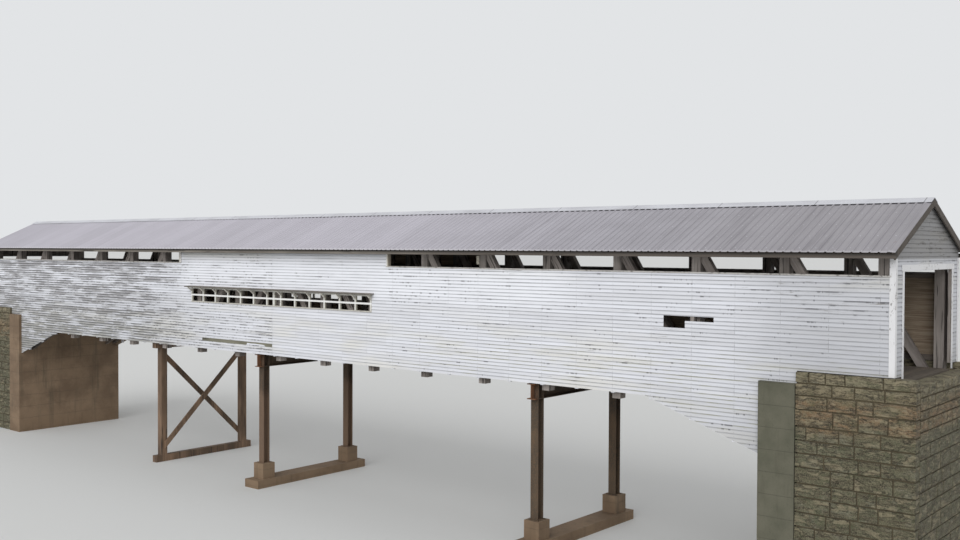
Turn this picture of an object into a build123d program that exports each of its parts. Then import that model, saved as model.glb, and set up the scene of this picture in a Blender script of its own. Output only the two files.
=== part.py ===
# Timber covered bridge on a multiple kingpost truss with arch ribs, as a 1:2 scale model.
# Millimetres of the model. X runs along the bridge, Y across it, Z up.
# The origin is at the middle of the bridge, level with the foot of its deepest footing.
# The near side is -Y and the far side is +Y.

import os
from math import atan, cos, sqrt

from build123d import *

# Truss layout along the bridge
panel_length = 1335.0
panels_each_side = 9
truss_centre_y = 1190.0

# Levels of the main members
seat_level = 2760.0  # top of the bridge seats and pads, under the bottom chords
truss_clear_height = 2080.0
top_chord_height = 125.0

# Truss timbers
post_width = 140.0
post_depth = 150.0
post_core = 40.0
post_foot_drop = 135.0
bottom_chord_height = 150.0
brace_height = 120.0
brace_depth = 100.0
tie_beam_width = 100.0

# Arch ribs, one on each face of a truss
arch_rib_height = 160.0
arch_rib_thickness = 62.0
arch_crown_clearance = 25.0  # from the ribs at midspan up to the top rail of the siding
arch_foot_drop = 510.0  # centre line at the bearing blocks, below the seats

# Floor
floor_beam_width = 120.0
floor_beam_height = 150.0
joist_width = 60.0
joist_height = 100.0
joist_count = 7
joist_edge_setback = 75.0
deck_thickness = 40.0
deck_edge_clearance = 8.0

# Abutments and the concrete bearing blocks in front of them
bearing_block_length = 520.0
bridge_seat_length = 1300.0
backwall_thickness = 280.0
backwall_clearance = 15.0
cheek_clearance = 10.0
cheek_projection = 68.0  # beyond the face of the siding
bearing_cheek_height = 357.0
abutment_cheek_height = 526.0

# Steel pile bents
steel_bent_x = [-565.0, 6440.0]
pile_size = 150.0
steel_thickness = 14.0
pile_inset = 20.0  # from the centre of each truss
bent_cap_depth = 255.0
bent_cap_width = 160.0
bent_cap_overrun = 180.0
bearing_pad_height = 40.0
bearing_pad_length = 200.0
pedestal_size = 300.0
pedestal_top_level = 480.0
strip_footing_height = 165.0
strip_footing_width = 420.0
strip_footing_overrun = 330.0

# Timber bent
timber_bent_x = -4300.0
bent_timber_size = 150.0
bent_post_inset = 70.0  # from the centre of each truss
bent_timber_overrun = 210.0
bent_brace_height = 110.0
bent_brace_thickness = 40.0

# Siding and the timbers that carry it
wall_overrun = 135.0  # beyond the centre of the end post
siding_thickness = 10.0
nailer_thickness = 45.0
nailer_width = 60.0
nailer_show = 15.0
nailers_per_panel = 2
siding_drop = 20.0
vent_height = 254.0  # under the top chord
vent_sill_thickness = 20.0
vent_sill_projection = 15.0
vent_casing_width = 60.0
closed_half_length = 3175.0
skirt_length = 1831.0
skirt_cover = 70.0
side_rail_height = 80.0
top_rail_height = 66.0

# Window strip in the closed middle of each side
window_bays = 13
window_bay_width = 430.0
window_sill_height = 967.0  # above the seats
window_height = 331.0
window_frame_width = 38.0
window_frame_depth = 35.0
window_sill_edge = 22.0
mullion_width = 42.0
window_rail_height = 34.0
centre_board_width = 60.0
window_frame_projection = 5.0
hood_projection = 150.0
hood_thickness = 22.0
hood_fall = 6.0
hood_side_overhang = 60.0
bracket_width = 30.0
bracket_height = 30.0
bracket_drop = 105.0

# Hole left by missing boards, on the near side only
hole_setback = 2460.0  # from the end of the wall
hole_length = 807.0
hole_full_length = 351.0
hole_sill_height = 1008.0  # above the seats
hole_height = 176.0
hole_narrow_height = 70.0

# Roof
eave_height = 47.0  # top of the roof's edge, above the underside of the top chord
roof_rise = 736.0
eave_overhang = 214.0
verge_overhang = 60.0
roof_sheet_thickness = 12.0
lath_thickness = 25.0
lath_width = 90.0
laths_each_slope = 5
lath_edge_setback = 40.0  # from the ridge and from the back of the fascia
rafter_height = 80.0
rafter_width = 40.0
rafters_per_panel = 2
fascia_thickness = 20.0
fascia_height = 62.0
fascia_setback = 20.0  # from the edge of the roof sheets
rafter_tail_lift = 21.0
ridge_cap_leg = 150.0
ridge_cap_thickness = 6.0
rake_board_thickness = 20.0
rake_board_height = 90.0

# Portals
portal_thickness = 50.0
portal_opening_height = 1440.0

# Levels that follow from the sizes above
chord_top = seat_level + bottom_chord_height
top_chord_level = seat_level + truss_clear_height
top_chord_top = top_chord_level + top_chord_height
floor_beam_top = chord_top + floor_beam_height
joist_top = floor_beam_top + joist_height
deck_top = joist_top + deck_thickness
bearing_cheek_top = seat_level + bearing_cheek_height
abutment_cheek_top = seat_level + abutment_cheek_height
siding_bottom_level = seat_level - siding_drop
vent_sill_level = top_chord_level - vent_height
vent_siding_top = vent_sill_level - vent_sill_thickness
top_rail_level = vent_siding_top - top_rail_height
window_bottom_level = seat_level + window_sill_height
window_top_level = window_bottom_level + window_height
hole_bottom_level = seat_level + hole_sill_height
hole_top_level = hole_bottom_level + hole_height
portal_opening_level = deck_top + portal_opening_height
eave_level = top_chord_level + eave_height
ridge_level = eave_level + roof_rise

# Places across the bridge
post_inner_y = truss_centre_y - post_depth / 2
post_outer_y = truss_centre_y + post_depth / 2
inner_rib_y = post_inner_y - arch_rib_thickness
outer_rib_y = post_outer_y + arch_rib_thickness
siding_inner_y = outer_rib_y + nailer_thickness
siding_outer_y = siding_inner_y + siding_thickness
deck_half_width = inner_rib_y - deck_edge_clearance
cheek_inner_y = post_outer_y + cheek_clearance
abutment_half_width = siding_outer_y + cheek_projection
eave_half_width = siding_outer_y + eave_overhang
pile_y = truss_centre_y - pile_inset
bent_post_y = truss_centre_y - bent_post_inset

# Places along the bridge, from midspan
post_places = [k * panel_length for k in range(-panels_each_side, panels_each_side + 1)]
end_post_x = post_places[-1]
wall_end_x = end_post_x + wall_overrun
chord_end_x = end_post_x + post_width / 2 + floor_beam_width
backwall_face_x = chord_end_x + backwall_clearance
abutment_end_x = backwall_face_x + backwall_thickness
abutment_face_x = backwall_face_x - bridge_seat_length
bearing_face_x = abutment_face_x - bearing_block_length
skirt_start_x = bearing_face_x - skirt_length
roof_end_x = wall_end_x + portal_thickness + verge_overhang
window_half_length = window_bays * window_bay_width / 2
hole_right_x = wall_end_x - hole_setback
hole_left_x = hole_right_x - hole_length

# Roof slope and the heights that its layers take up when measured plumb
roof_fall = roof_rise / eave_half_width
roof_pitch = atan(roof_fall)
sheet_plumb = roof_sheet_thickness / cos(roof_pitch)
lath_plumb = lath_thickness / cos(roof_pitch)
rafter_plumb = rafter_height / cos(roof_pitch)
rafter_end_y = eave_half_width - fascia_setback - fascia_thickness
lath_end_x = roof_end_x - rake_board_thickness

# Arch circle through the springings and the crown
arch_crown_level = top_rail_level - arch_crown_clearance - arch_rib_height / 2
arch_rise = arch_crown_level - seat_level + arch_foot_drop
arch_radius = (bearing_face_x**2 + arch_rise**2) / (2 * arch_rise)
arch_centre_level = arch_crown_level - arch_radius


def roof_level(y, depth=0.0):
    """Height of a plane that lies the given plumb depth under the roof's top face."""
    return ridge_level - depth - roof_fall * abs(y)


def arch_level(x, offset):
    """Height of the arch's edge, an offset above or below its centre line."""
    return arch_centre_level + sqrt((arch_radius + offset) ** 2 - x**2)


def arch_reach(level, offset):
    """Distance from midspan at which an edge of the arch comes down to a level."""
    return sqrt((arch_radius + offset) ** 2 - (level - arch_centre_level) ** 2)


def arch_crosses(x0, x1, low, high):
    """True where the arch passes through the levels between two places along the bridge."""
    near_end = min(abs(x0), abs(x1))
    far_end = max(abs(x0), abs(x1))
    under = arch_level(far_end, -arch_rib_height / 2)
    over = arch_level(near_end, arch_rib_height / 2)
    return under < high and over > low


def skirt_level(x):
    """Lower edge of the siding, which drops beside the arch's foot to cover it."""
    foot = arch_level(bearing_face_x, -arch_rib_height / 2) - skirt_cover
    along = (abs(x) - skirt_start_x) / (bearing_face_x - skirt_start_x)
    return siding_bottom_level - max(0.0, along) * (siding_bottom_level - foot)


def block(x0, x1, y0, y1, z0, z1):
    """Squared piece between two corners."""
    centre = Pos((x0 + x1) / 2, (y0 + y1) / 2, (z0 + z1) / 2)
    return centre * Box(abs(x1 - x0), abs(y1 - y0), abs(z1 - z0))


def plate_along(outline, y0, y1):
    """Outline in X and Z, given its thickness across the bridge."""
    points = [(x, min(y0, y1), z) for x, z in outline]
    face = make_face(Polyline(*points, close=True))
    return extrude(face, amount=abs(y1 - y0), dir=(0, 1, 0))


def plate_across(outline, x0, x1):
    """Outline in Y and Z, given its thickness along the bridge."""
    points = [(min(x0, x1), y, z) for y, z in outline]
    face = make_face(Polyline(*points, close=True))
    return extrude(face, amount=abs(x1 - x0), dir=(1, 0, 0))


def both_sides(piece):
    """A far-side piece and its mirror image on the near side."""
    return [piece, mirror(piece, about=Plane.XZ)]


def both_ends(piece):
    """A right-hand piece and its mirror image at the left end."""
    return [piece, mirror(piece, about=Plane.YZ)]


def save(name, pieces):
    """Write one sub-part, which may be several solids."""
    solids = [solid for piece in pieces for solid in piece.solids()]
    export_step(Compound(solids), f"parts/{name}.step")


def i_section(depth, width, thickness):
    """Steel section with two flanges and a web, its depth upwards in the sketch."""
    recess = Rectangle((width - thickness) / 2, depth - 2 * thickness)
    shift = (width + thickness) / 4
    return Rectangle(width, depth) - Pos(shift, 0) * recess - Pos(-shift, 0) * recess


# Stone abutment: one mass with a bridge seat, a cheek on each side and a backwall
def abutment():
    face, end = abutment_face_x, abutment_end_x
    inner, outer = cheek_inner_y, abutment_half_width
    mass = block(face, end, -outer, outer, 0, seat_level)
    backwall = block(backwall_face_x, end, -inner, inner, seat_level, deck_top)
    cheek = block(face, end, inner, outer, seat_level, abutment_cheek_top)
    return mass + backwall + cheek + mirror(cheek, about=Plane.XZ)


# Concrete block cast against the abutment, which takes the arch's foot on its front face
def bearing_block():
    face, end = bearing_face_x, abutment_face_x
    mass = block(face, end, -abutment_half_width, abutment_half_width, 0, seat_level)
    cheek = block(face, end, cheek_inner_y, abutment_half_width, seat_level, bearing_cheek_top)
    return mass + cheek + mirror(cheek, about=Plane.XZ)


# Concrete footing of a steel bent: a strip with a pedestal under each pile
def bent_footing(x):
    half = strip_footing_width / 2
    reach = pile_y + strip_footing_overrun
    footing = block(x - half, x + half, -reach, reach, 0, strip_footing_height)
    half = pedestal_size / 2
    for y in (-pile_y, pile_y):
        footing += block(x - half, x + half, y - half, y + half, strip_footing_height, pedestal_top_level)
    return footing


# Steel of a bent: two H piles and an I beam across their heads
def bent_piles(x):
    pile_height = seat_level - bearing_pad_height - bent_cap_depth - pedestal_top_level
    pile = extrude(i_section(pile_size, pile_size, steel_thickness), amount=pile_height)
    return [Pos(x, y, pedestal_top_level) * pile for y in (-pile_y, pile_y)]


def bent_cap(x):
    middle = seat_level - bearing_pad_height - bent_cap_depth / 2
    section = Plane.XZ * i_section(bent_cap_depth, bent_cap_width, steel_thickness)
    return Pos(x, 0, middle) * extrude(section, amount=pile_y + bent_cap_overrun, both=True)


def bent_pads(x):
    half = bearing_pad_length / 2
    low = seat_level - bearing_pad_height
    return both_sides(block(x - half, x + half, post_inner_y, post_outer_y, low, seat_level))


# Timber bent: sill, two posts, cross braces on both faces and a cap
def timber_beam(low):
    half = bent_timber_size / 2
    reach = bent_post_y + bent_timber_overrun
    return block(timber_bent_x - half, timber_bent_x + half, -reach, reach, low, low + bent_timber_size)


def timber_bent_posts():
    half = bent_timber_size / 2
    low = bent_timber_size
    high = seat_level - bent_timber_size
    post = block(
        timber_bent_x - half,
        timber_bent_x + half,
        bent_post_y - half,
        bent_post_y + half,
        low,
        high,
    )
    return both_sides(post)


def timber_bent_braces():
    reach = bent_post_y
    low = 2 * bent_timber_size
    high = seat_level - 2 * bent_timber_size
    run = 2 * reach
    plumb = bent_brace_height * sqrt(run**2 + (high - low) ** 2) / run
    face_x = timber_bent_x + bent_timber_size / 2
    outline = [(-reach, low), (reach, high), (reach, high + plumb), (-reach, low + plumb)]
    front = plate_across(outline, face_x, face_x + bent_brace_thickness)
    back = mirror(front, about=Plane.XZ)
    return [front, Pos(-bent_timber_size - bent_brace_thickness, 0, 0) * back]


# Truss posts, notched on both faces so that a core passes between the two chord timbers
def post_foot_level(x):
    over_seat = abs(x) + post_width / 2 > bearing_face_x
    return seat_level if over_seat else seat_level - post_foot_drop


def truss_post(x):
    half = post_width / 2
    post = block(x - half, x + half, post_inner_y, post_outer_y, post_foot_level(x), top_chord_level)
    core = post_core / 2
    notch = block(x - half, x + half, truss_centre_y + core, post_outer_y, seat_level, chord_top)
    inner_notch = block(x - half, x + half, post_inner_y, truss_centre_y - core, seat_level, chord_top)
    return post - notch - inner_notch


def bottom_chord():
    core = post_core / 2
    outer = (truss_centre_y + core, post_outer_y)
    inner = (post_inner_y, truss_centre_y - core)
    return [
        block(-chord_end_x, chord_end_x, y0, y1, seat_level, chord_top) for y0, y1 in (outer, inner)
    ]


def top_chord():
    reach = wall_end_x
    return block(-reach, reach, post_inner_y, post_outer_y, top_chord_level, top_chord_top)


# Braces fall from the head of each post to the foot of the next one towards the bank
def truss_brace(panel):
    left = panel * panel_length + post_width / 2
    right = (panel + 1) * panel_length - post_width / 2
    rise = top_chord_level - chord_top
    run = right - left
    length = sqrt(run**2 + rise**2)
    plumb = brace_height * length / run
    level_cut = brace_height * length / rise
    outline = [
        (left, top_chord_level),
        (left, top_chord_level - plumb / 2),
        (right - level_cut / 2, chord_top),
        (right, chord_top),
        (right, chord_top + plumb / 2),
        (left + level_cut / 2, top_chord_level),
    ]
    return plate_along(outline, truss_centre_y - brace_depth / 2, truss_centre_y + brace_depth / 2)


def arch_rib(y0, y1):
    """Curved rib between the bearing blocks, flat against the faces of the posts."""
    low = -arch_rib_height / 2
    high = arch_rib_height / 2
    reach = bearing_face_x
    upper = ThreePointArc(
        (-reach, y0, arch_level(reach, high)),
        (0, y0, arch_level(0, high)),
        (reach, y0, arch_level(reach, high)),
    )
    lower = ThreePointArc(
        (-reach, y0, arch_level(reach, low)),
        (0, y0, arch_level(0, low)),
        (reach, y0, arch_level(reach, low)),
    )
    ends = [Line(upper @ 0, lower @ 0), Line(upper @ 1, lower @ 1)]
    return extrude(make_face([upper, lower, *ends]), amount=y1 - y0, dir=(0, 1, 0))


# Floor beams stand on the bottom chords, and stop at the inner rib where the arch passes them
def floor_beam(x):
    half = floor_beam_width / 2
    blocked = arch_crosses(x - half, x + half, chord_top, floor_beam_top)
    reach = inner_rib_y if blocked else post_outer_y
    return block(x - half, x + half, -reach, reach, chord_top, floor_beam_top)


def floor_beam_places():
    beside_post = (post_width + floor_beam_width) / 2
    places = [k * panel_length + beside_post for k in range(panels_each_side + 1)]
    places += [(k + 0.5) * panel_length for k in range(panels_each_side)]
    return places


def joists():
    reach = chord_end_x
    edge = deck_half_width - joist_edge_setback
    spacing = 2 * edge / (joist_count - 1)
    rows = [-edge + i * spacing for i in range(joist_count)]
    half = joist_width / 2
    return [block(-reach, reach, y - half, y + half, floor_beam_top, joist_top) for y in rows]


# Siding panel towards the bank, with its skirt over the arch's foot and its steps over the masonry
def end_siding():
    outline = [
        (closed_half_length, siding_bottom_level),
        (skirt_start_x, siding_bottom_level),
        (bearing_face_x, skirt_level(bearing_face_x)),
        (bearing_face_x, bearing_cheek_top),
        (abutment_face_x, bearing_cheek_top),
        (abutment_face_x, abutment_cheek_top),
        (wall_end_x, abutment_cheek_top),
        (wall_end_x, vent_siding_top),
        (closed_half_length, vent_siding_top),
    ]
    return plate_along(outline, siding_inner_y, siding_outer_y)


def missing_boards():
    outline = [
        (hole_left_x, hole_bottom_level),
        (hole_left_x + hole_full_length, hole_bottom_level),
        (hole_left_x + hole_full_length, hole_top_level - hole_narrow_height),
        (hole_right_x, hole_top_level - hole_narrow_height),
        (hole_right_x, hole_top_level),
        (hole_left_x, hole_top_level),
    ]
    return plate_along(outline, -siding_outer_y, -siding_inner_y)


def closed_top_level():
    return roof_level(siding_outer_y, sheet_plumb + lath_plumb + rafter_plumb)


def middle_siding():
    reach = closed_half_length
    wall = block(-reach, reach, siding_inner_y, siding_outer_y, siding_bottom_level, closed_top_level())
    half = window_half_length
    window = block(-half, half, siding_inner_y, siding_outer_y, window_bottom_level, window_top_level)
    return wall - window


# Horizontal rails on the truss, and upright nailers on the rails and the arch
def side_rails():
    top = block(
        -wall_end_x,
        wall_end_x,
        post_outer_y,
        outer_rib_y,
        top_rail_level,
        vent_siding_top,
    )
    rail_top = seat_level + side_rail_height
    inner_stop = arch_reach(rail_top, -arch_rib_height / 2) - nailer_width
    outer_stop = arch_reach(seat_level, arch_rib_height / 2) + nailer_width
    middle = block(-inner_stop, inner_stop, post_outer_y, outer_rib_y, seat_level, rail_top)
    end = block(outer_stop, bearing_face_x, post_outer_y, outer_rib_y, seat_level, rail_top)
    rail_top = abutment_cheek_top + side_rail_height
    bank = block(
        abutment_face_x, wall_end_x, post_outer_y, outer_rib_y, abutment_cheek_top, rail_top
    )
    rails = [top, middle, *both_ends(end), *both_ends(bank)]
    return [piece for rail in rails for piece in both_sides(rail)]


def nailer_foot(x):
    reach = abs(x) + nailer_width / 2
    if reach > abutment_face_x:
        return abutment_cheek_top
    if reach > bearing_face_x:
        return bearing_cheek_top
    return skirt_level(x) - nailer_show


def nailer_places():
    count = panels_each_side * nailers_per_panel
    spacing = panel_length / nailers_per_panel
    return [i * spacing for i in range(-count, count + 1)]


def nailers():
    pieces = []
    half = nailer_width / 2
    for x in nailer_places():
        in_middle = abs(x) + half < closed_half_length
        at_window = abs(x) - half < window_half_length
        head = closed_top_level() if in_middle else vent_siding_top
        spans = [(nailer_foot(x), head)]
        if at_window:
            spans = [(nailer_foot(x), window_bottom_level), (window_top_level, head)]
        for low, high in spans:
            pieces += both_sides(block(x - half, x + half, outer_rib_y, siding_inner_y, low, high))
    return pieces


def vent_sill():
    front = siding_outer_y + vent_sill_projection
    return block(
        closed_half_length, wall_end_x, outer_rib_y, front, vent_siding_top, vent_sill_level
    )


def vent_casing():
    front = siding_outer_y + vent_sill_projection
    side = closed_half_length + vent_casing_width
    return block(closed_half_length, side, outer_rib_y, front, vent_sill_level, top_chord_level)


# Window strip: an outer frame, a middle rail, a mullion between bays and one wider centre board
def window_frame():
    half = window_half_length
    front = siding_outer_y + window_frame_projection
    back = front - window_frame_depth
    inner = half - window_frame_width
    low = window_bottom_level + window_sill_edge
    high = window_top_level - window_frame_width
    frame = block(-half, half, back, front, window_bottom_level, window_top_level)
    frame -= block(-inner, inner, back, front, low, high)
    middle = (low + high) / 2
    rail = window_rail_height / 2
    frame += block(-inner, inner, back, front, middle - rail, middle + rail)
    for i in range(1, window_bays):
        x = -half + i * window_bay_width
        frame += block(x - mullion_width / 2, x + mullion_width / 2, back, front, low, high)
    board = centre_board_width / 2
    frame += block(-board, board, back, front, low, high)
    return frame


def hood_underside(y):
    """Height of the hood's underside, which falls towards its outer edge."""
    out = (y - siding_outer_y - window_frame_projection) / hood_projection
    return window_top_level - hood_fall * out


def window_hood():
    half = window_half_length + hood_side_overhang
    inner = siding_outer_y
    outer = siding_outer_y + hood_projection
    outline = [
        (inner, hood_underside(inner)),
        (outer, hood_underside(outer)),
        (outer, hood_underside(outer) + hood_thickness),
        (inner, hood_underside(inner) + hood_thickness),
    ]
    return plate_across(outline, -half, half)


def hood_brackets():
    back = siding_outer_y + window_frame_projection
    front = siding_outer_y + hood_projection - bracket_height
    foot = window_top_level - bracket_drop
    outline = [
        (back, foot),
        (front, hood_underside(front)),
        (front - bracket_height, hood_underside(front - bracket_height)),
        (back, foot + bracket_height),
    ]
    pieces = []
    for i in range(window_bays + 1):
        x = -window_half_length + i * window_bay_width
        x = max(-window_half_length + bracket_width / 2, min(window_half_length - bracket_width / 2, x))
        pieces.append(plate_across(outline, x - bracket_width / 2, x + bracket_width / 2))
    return pieces


# Rafters meet at the ridge, sit in a birdsmouth on the top chord and end in a levelled tail
def rafter():
    top = sheet_plumb + lath_plumb
    under = top + rafter_plumb
    tail_level = roof_level(rafter_end_y, top) - fascia_height + rafter_tail_lift
    tail_start = (ridge_level - under - tail_level) / roof_fall
    outline = [
        (0, roof_level(0, top)),
        (rafter_end_y, roof_level(rafter_end_y, top)),
        (rafter_end_y, tail_level),
        (tail_start, tail_level),
        (0, roof_level(0, under)),
    ]
    half = rafter_width / 2
    return plate_across(outline, -half, half) - top_chord()


def rafter_places():
    count = panels_each_side * rafters_per_panel
    spacing = panel_length / rafters_per_panel
    return [i * spacing for i in range(-count, count + 1)]


def slope_layer(y0, y1, depth, thickness, half_length):
    """Flat layer of the roof between two distances from the ridge, under the top face."""
    outline = [
        (y0, roof_level(y0, depth)),
        (y1, roof_level(y1, depth)),
        (y1, roof_level(y1, depth + thickness)),
        (y0, roof_level(y0, depth + thickness)),
    ]
    return plate_across(outline, -half_length, half_length)


def laths():
    run = lath_width * cos(roof_pitch)
    first = lath_edge_setback
    last = rafter_end_y - lath_edge_setback - run
    spacing = (last - first) / (laths_each_slope - 1)
    pieces = []
    for i in range(laths_each_slope):
        y = first + i * spacing
        pieces += both_sides(slope_layer(y, y + run, sheet_plumb, lath_plumb, lath_end_x))
    return pieces


def fascia():
    """Board on the rafters' ends, level with their tops, so that a gap shows under the sheets."""
    top = sheet_plumb + lath_plumb
    outer = rafter_end_y + fascia_thickness
    low = roof_level(rafter_end_y, top) - fascia_height
    outline = [
        (rafter_end_y, low),
        (outer, low),
        (outer, roof_level(outer, top)),
        (rafter_end_y, roof_level(rafter_end_y, top)),
    ]
    return plate_across(outline, -lath_end_x, lath_end_x)


def rake_board():
    """Board under the end of the roof, against the ends of the laths."""
    plumb = rake_board_height / cos(roof_pitch)
    outer = rafter_end_y + fascia_thickness
    outline = [
        (0, roof_level(0, sheet_plumb)),
        (outer, roof_level(outer, sheet_plumb)),
        (outer, roof_level(outer, sheet_plumb + plumb)),
        (0, roof_level(0, sheet_plumb + plumb)),
        (-outer, roof_level(outer, sheet_plumb + plumb)),
        (-outer, roof_level(outer, sheet_plumb)),
    ]
    return plate_across(outline, lath_end_x, roof_end_x)


def ridge_cap():
    run = ridge_cap_leg * cos(roof_pitch)
    plumb = ridge_cap_thickness / cos(roof_pitch)
    outline = [
        (0, ridge_level),
        (run, roof_level(run)),
        (run, roof_level(run, -plumb)),
        (0, ridge_level + plumb),
        (-run, roof_level(run, -plumb)),
        (-run, roof_level(run)),
    ]
    return plate_across(outline, -roof_end_x, roof_end_x)


# Portal: a boarded gable over the roadway, with a leg beside each truss
def portal():
    under = sheet_plumb + lath_plumb
    reach = siding_outer_y
    outline = [
        (-reach, abutment_cheek_top),
        (-deck_half_width, abutment_cheek_top),
        (-deck_half_width, portal_opening_level),
        (deck_half_width, portal_opening_level),
        (deck_half_width, abutment_cheek_top),
        (reach, abutment_cheek_top),
        (reach, roof_level(reach, under)),
        (0, roof_level(0, under)),
        (-reach, roof_level(reach, under)),
    ]
    return plate_across(outline, wall_end_x, wall_end_x + portal_thickness)


os.makedirs("parts", exist_ok=True)

# Masonry and bents
right_abutment, left_abutment = both_ends(abutment())
save("left_abutment", [left_abutment])
save("right_abutment", [right_abutment])
right_block, left_block = both_ends(bearing_block())
save("left_bearing_block", [left_block])
save("right_bearing_block", [right_block])
save("steel_bent_footings", [bent_footing(x) for x in steel_bent_x])
save("steel_bent_piles", [pile for x in steel_bent_x for pile in bent_piles(x)])
save("steel_bent_caps", [bent_cap(x) for x in steel_bent_x])
save("steel_bent_pads", [pad for x in steel_bent_x for pad in bent_pads(x)])
save("timber_bent_sill", [timber_beam(0)])
save("timber_bent_posts", timber_bent_posts())
save("timber_bent_braces", timber_bent_braces())
save("timber_bent_cap", [timber_beam(seat_level - bent_timber_size)])

# The two trusses
far_truss = {
    "posts": [truss_post(x) for x in post_places],
    "bottom_chord": bottom_chord(),
    "top_chord": [top_chord()],
    "braces": [piece for k in range(panels_each_side) for piece in both_ends(truss_brace(k))],
    "outer_arch_rib": [arch_rib(post_outer_y, outer_rib_y)],
    "inner_arch_rib": [arch_rib(inner_rib_y, post_inner_y)],
}
for piece_name, solids in far_truss.items():
    save(f"far_{piece_name}", solids)
    save(f"near_{piece_name}", [mirror(solid, about=Plane.XZ) for solid in solids])

tie_half = tie_beam_width / 2
ties = [
    block(x - tie_half, x + tie_half, -post_inner_y, post_inner_y, top_chord_level, top_chord_top)
    for x in post_places
]
save("tie_beams", ties)

# Floor
save("floor_beams", [beam for x in floor_beam_places() for beam in both_ends(floor_beam(x))])
save("joists", joists())
save(
    "deck",
    [block(-backwall_face_x, backwall_face_x, -deck_half_width, deck_half_width, joist_top, deck_top)],
)

# Sides
right_siding, left_siding = both_ends(end_siding())
save("far_right_siding", [right_siding])
save("far_left_siding", [left_siding])
save("near_right_siding", [mirror(right_siding, about=Plane.XZ) - missing_boards()])
save("near_left_siding", [mirror(left_siding, about=Plane.XZ)])
for side_name, piece in zip(("far", "near"), both_sides(middle_siding())):
    save(f"{side_name}_middle_siding", [piece])
save("side_rails", side_rails())
save("siding_nailers", nailers())
for piece_name, solid in (("vent_sills", vent_sill()), ("vent_casings", vent_casing())):
    save(piece_name, [piece for end in both_ends(solid) for piece in both_sides(end)])
for side_name, piece in zip(("far", "near"), both_sides(window_frame())):
    save(f"{side_name}_window_frame", [piece])
for side_name, piece in zip(("far", "near"), both_sides(window_hood())):
    save(f"{side_name}_window_hood", [piece])
save("hood_brackets", [piece for bracket in hood_brackets() for piece in both_sides(bracket)])

# Roof
rafter_pair = both_sides(rafter())
save("rafters", [Pos(x, 0, 0) * piece for x in rafter_places() for piece in rafter_pair])
save("roof_laths", laths())
roof_sheet = slope_layer(0, eave_half_width, 0, sheet_plumb, roof_end_x)
for side_name, piece in zip(("far", "near"), both_sides(roof_sheet)):
    save(f"{side_name}_roof_sheet", [piece])
save("ridge_cap", [ridge_cap()])
save("fascia_boards", both_sides(fascia()))
save("rake_boards", both_ends(rake_board()))

# Portals
right_portal, left_portal = both_ends(portal())
save("right_portal", [right_portal])
save("left_portal", [left_portal])
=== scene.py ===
import random
from contextlib import contextmanager
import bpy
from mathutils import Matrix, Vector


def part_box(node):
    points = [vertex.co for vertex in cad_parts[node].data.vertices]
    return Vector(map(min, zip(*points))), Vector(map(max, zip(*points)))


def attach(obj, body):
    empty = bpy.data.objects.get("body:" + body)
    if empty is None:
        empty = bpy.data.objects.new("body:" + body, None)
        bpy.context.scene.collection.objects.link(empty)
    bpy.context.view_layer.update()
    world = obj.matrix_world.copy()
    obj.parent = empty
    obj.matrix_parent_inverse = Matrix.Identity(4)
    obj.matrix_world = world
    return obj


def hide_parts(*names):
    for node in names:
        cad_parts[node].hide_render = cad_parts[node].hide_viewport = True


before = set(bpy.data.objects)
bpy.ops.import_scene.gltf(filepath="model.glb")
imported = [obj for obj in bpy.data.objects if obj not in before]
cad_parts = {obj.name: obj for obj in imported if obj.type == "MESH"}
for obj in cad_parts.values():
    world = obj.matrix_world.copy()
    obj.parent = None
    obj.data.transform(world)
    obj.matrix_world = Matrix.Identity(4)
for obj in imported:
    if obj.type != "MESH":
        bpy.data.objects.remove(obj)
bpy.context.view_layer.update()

from fnmatch import fnmatch
from math import ceil, pi, radians

import bmesh
import bpy
from mathutils import Matrix, Vector

print("frame loaded")

# Metres throughout. X runs along the bridge, Z is up and the near side is -Y.

hair = 1e-6  # less than this is rounding
weld = 1e-5  # points closer than this are one


def tone(red, green, blue):
    # a screen colour, 0 to 255, as Blender's linear colour
    def straight(value):
        value /= 255
        return value / 12.92 if value <= 0.04045 else ((value + 0.055) / 1.055) ** 2.4
    return (straight(red), straight(green), straight(blue), 1.0)


def newPiece(name, data):
    piece = bpy.data.objects.new(name, data)
    bpy.context.scene.collection.objects.link(piece)
    return piece


def pick(sockets, key):
    # a socket in use, by its number or its name
    sockets = [s for s in sockets if s.enabled]
    return sockets[key] if isinstance(key, int) else next(s for s in sockets if s.name == key)


def maths(operation, swapped=False):
    # a method that works out a wire and its other values in one Math node
    def work(self, *others):
        values = (*others, self) if swapped else (self, *others)
        return self.sheet.node("ShaderNodeMath", {"operation": operation}, dict(enumerate(values)))
    return work


class Wire:
    # one output of a node, so that shader maths reads as plain sums
    def __init__(self, sheet, socket):
        self.sheet = sheet
        self.socket = socket

    __add__ = __radd__ = maths("ADD")
    __sub__, __rsub__ = maths("SUBTRACT"), maths("SUBTRACT", True)
    __mul__ = __rmul__ = maths("MULTIPLY")
    __truediv__ = maths("DIVIDE")
    least, most, above = maths("MINIMUM"), maths("MAXIMUM"), maths("GREATER_THAN")
    fract, floor, nearest, mod = maths("FRACT"), maths("FLOOR"), maths("ROUND"), maths("FLOORED_MODULO")
    size, root = maths("ABSOLUTE"), maths("SQRT")

    def ease(self, start, end):
        # smooth step from 0 to 1 between two values, and held outside them
        settings = {"interpolation_type": "SMOOTHSTEP"}
        return self.sheet.node("ShaderNodeMapRange", settings, {0: self, 1: start, 2: end, 3: 0.0, 4: 1.0})

    def also(self, name):
        return Wire(self.sheet, pick(self.socket.node.outputs, name))


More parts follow.
